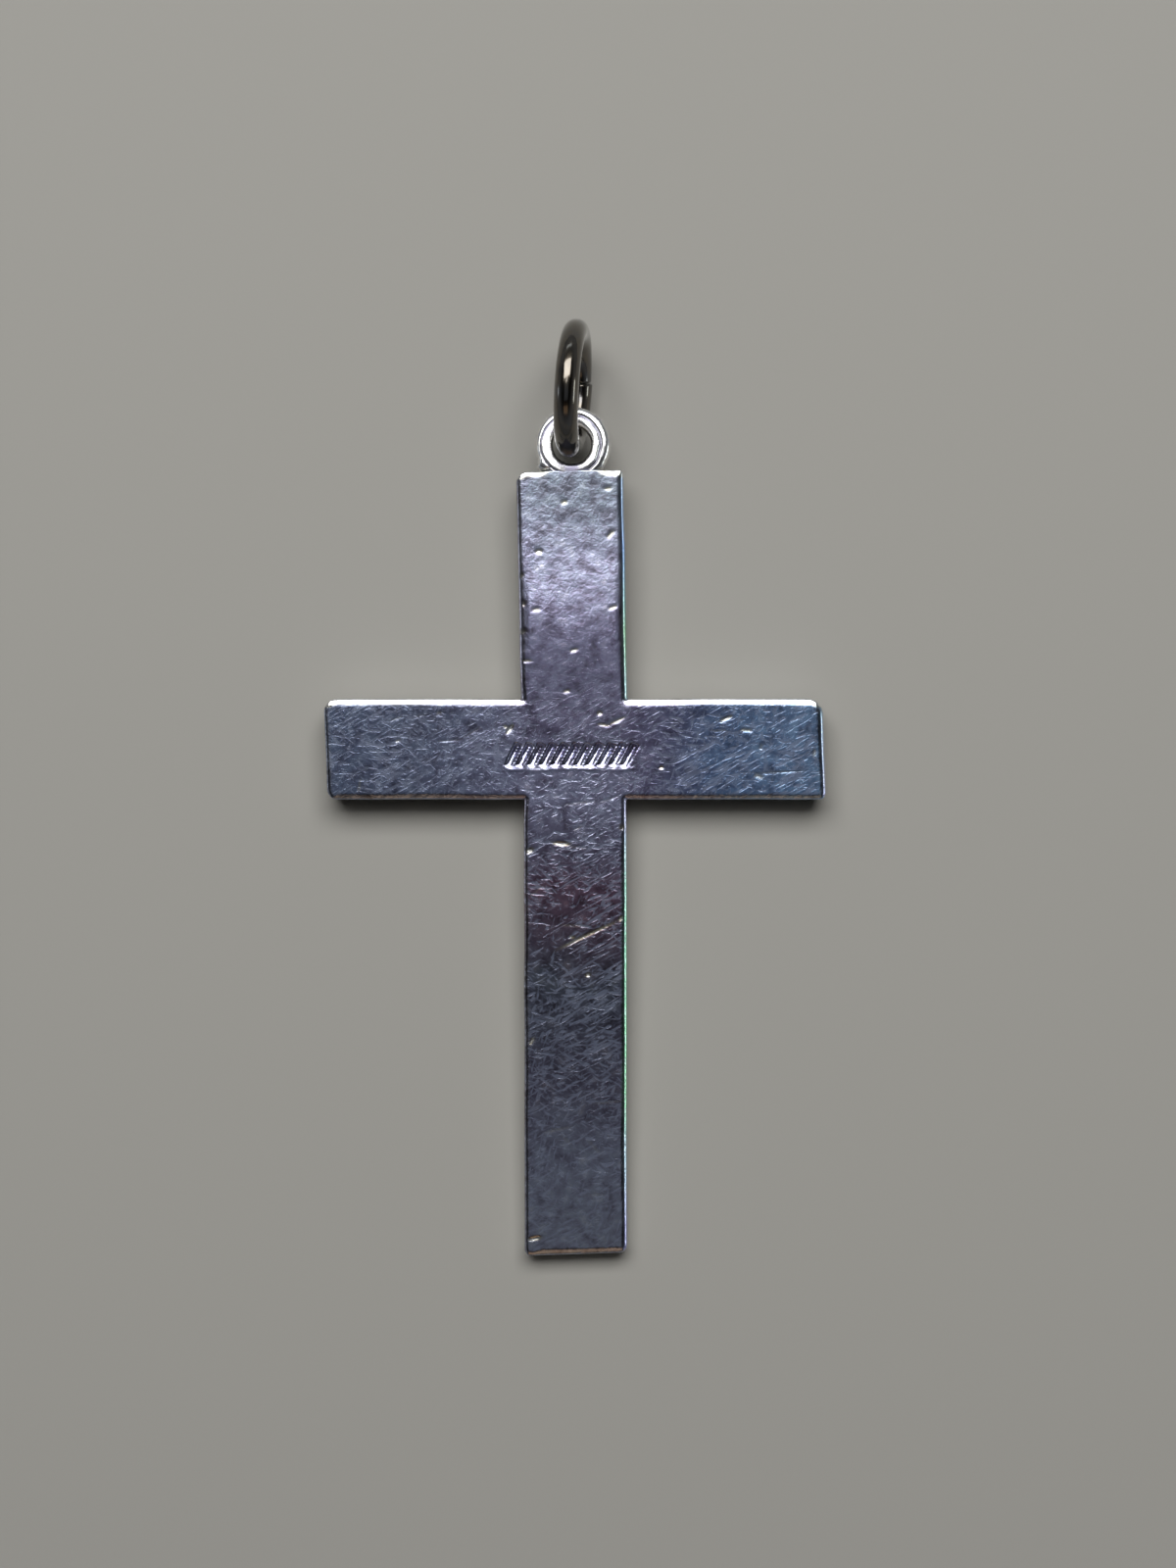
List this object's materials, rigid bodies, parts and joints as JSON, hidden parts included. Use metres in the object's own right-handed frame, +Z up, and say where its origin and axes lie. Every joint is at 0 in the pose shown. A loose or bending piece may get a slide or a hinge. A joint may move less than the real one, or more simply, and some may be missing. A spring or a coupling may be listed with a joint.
{
  "type": "flat cross pendant with a soldered eyelet and a jump ring",
  "caption": "Flat Latin cross pendant in tarnished silver, lying on its face, with a soldered wire eyelet and a blackened jump ring standing in it.",
  "frame": {"origin": "on the surface that the pendant lies on, under the middle of its bounding box", "axes": "+Y from the foot of the cross to its jump ring, +Z up, out of the back of the cross"},
  "size_m": [0.0196, 0.0366, 0.0054],
  "materials": {
    "tarnished_silver": "old silver, lavender to slate tarnish, finely scratched, bright on the worn edges and on the eyelet",
    "blackened_silver": "round silver wire tarnished to a glossy brown-black"
  },
  "bodies": {
    "root": {"cross": "tarnished_silver", "jump_ring": "blackened_silver"}
  },
  "joints": []
}
